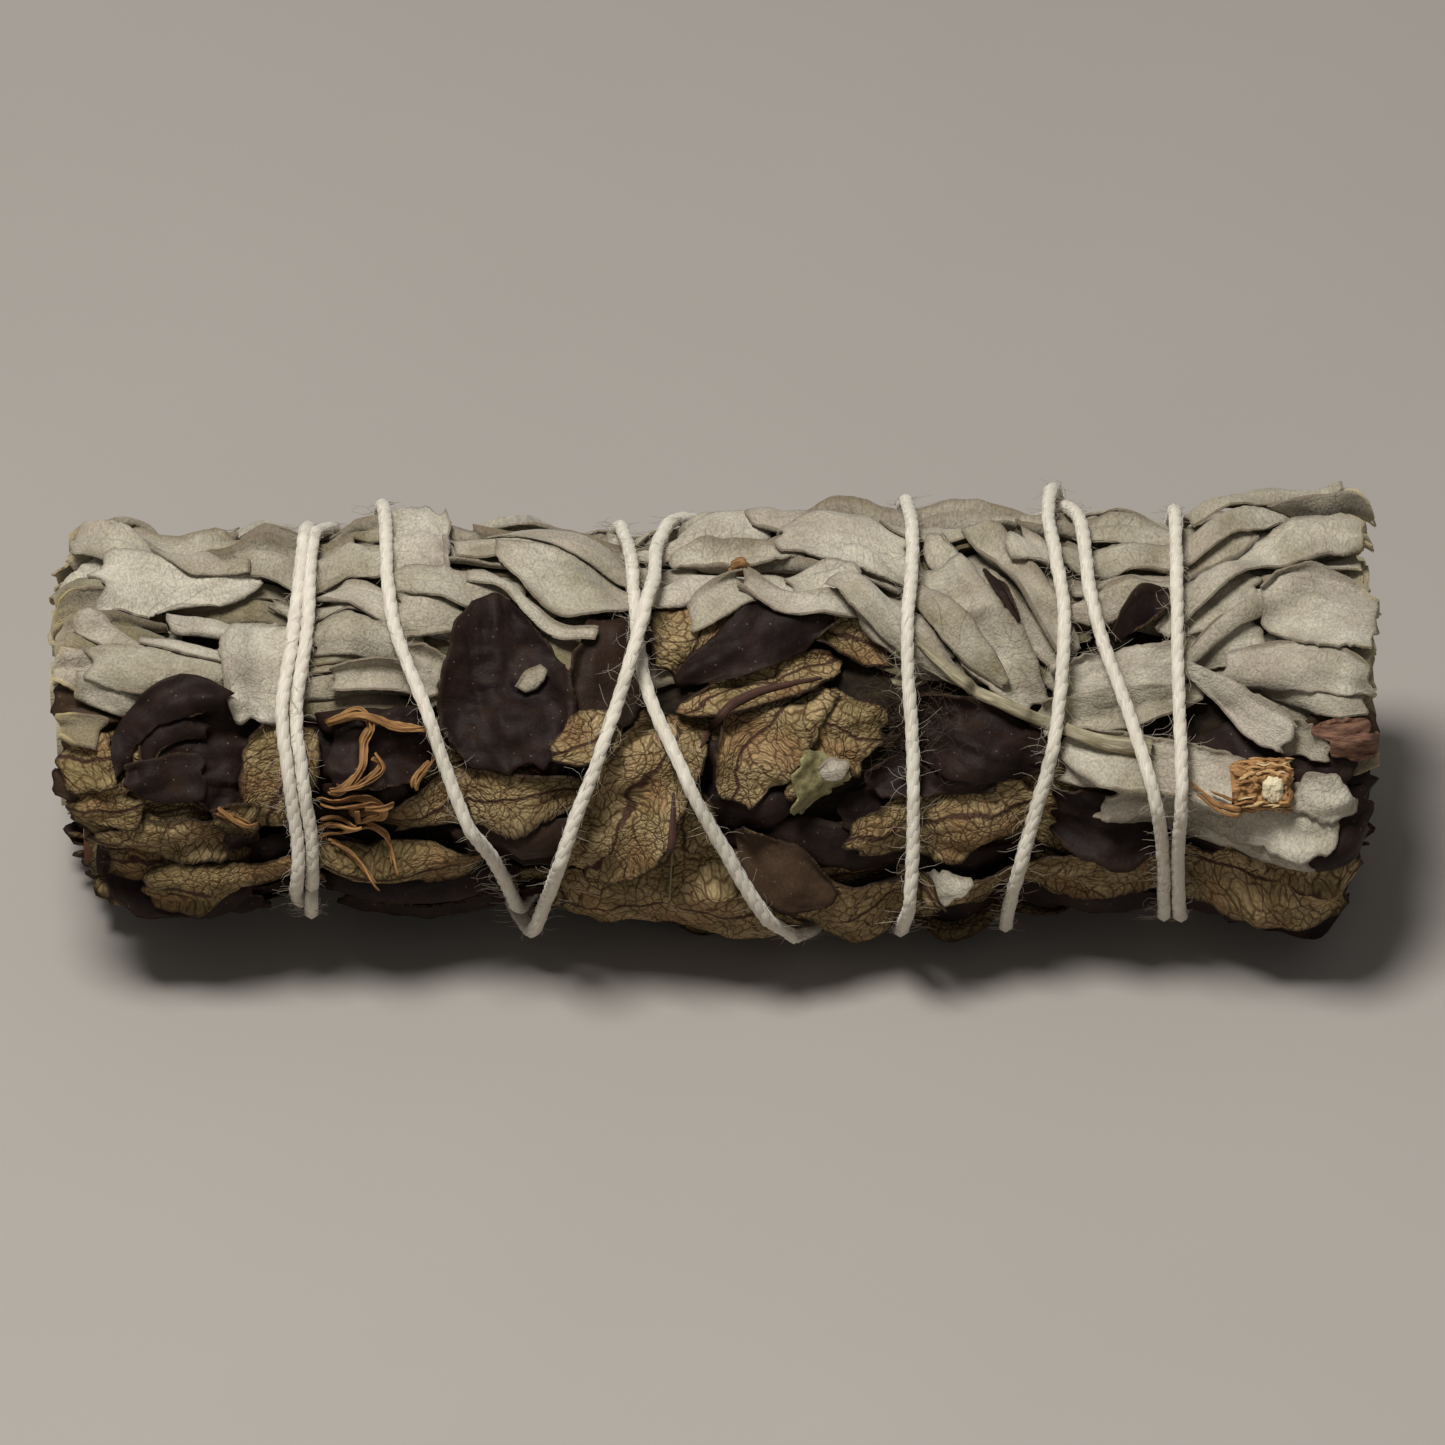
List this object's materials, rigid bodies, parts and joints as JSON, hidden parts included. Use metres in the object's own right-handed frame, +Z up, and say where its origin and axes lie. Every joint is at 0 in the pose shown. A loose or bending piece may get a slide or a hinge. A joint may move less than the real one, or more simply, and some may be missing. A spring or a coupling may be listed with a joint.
{
  "type": "dried sage bunch bound with string",
  "caption": "Bunch of dried white sage with dark net-veined leaves along one side, cut flat at both ends and bound criss-cross with one cotton string; it lies on its side.",
  "frame": {"origin": "on the surface that the bunch lies on, under the middle of its box", "axes": "+X along the bunch from the stems' thick ends to their thin ends, -Y the side with the leaves that face out, +Z up"},
  "size_m": [0.1044, 0.0352, 0.0352],
  "materials": {
    "sage_leaf": "dried felted leaf, pale grey-green, matt",
    "dark_leaf": "dried resinous leaf, purple-brown above and olive-tan net-veined below, slightly glossy",
    "sage_stem": "dried stem, downy, with a pale cut end",
    "dark_stem": "dried woody stem, red-brown, with a pale cut end",
    "broken_wood": "broken dry wood, orange-brown fibres round a pale middle",
    "cotton": "undyed twisted cotton, matt, with loose fibres"
  },
  "bodies": {
    "root": {"sage_leaves": "sage_leaf", "dark_leaves": "dark_leaf", "sage_stem_1": "sage_stem", "sage_stem_2": "sage_stem", "sage_stem_3": "sage_stem", "sage_stem_4": "sage_stem", "sage_stem_5": "sage_stem", "sage_stem_6": "sage_stem", "dark_stem_1": "dark_stem", "dark_stem_2": "dark_stem", "dark_stem_3": "dark_stem", "woody_stub": "broken_wood", "cotton_string": "cotton"}
  },
  "joints": []
}
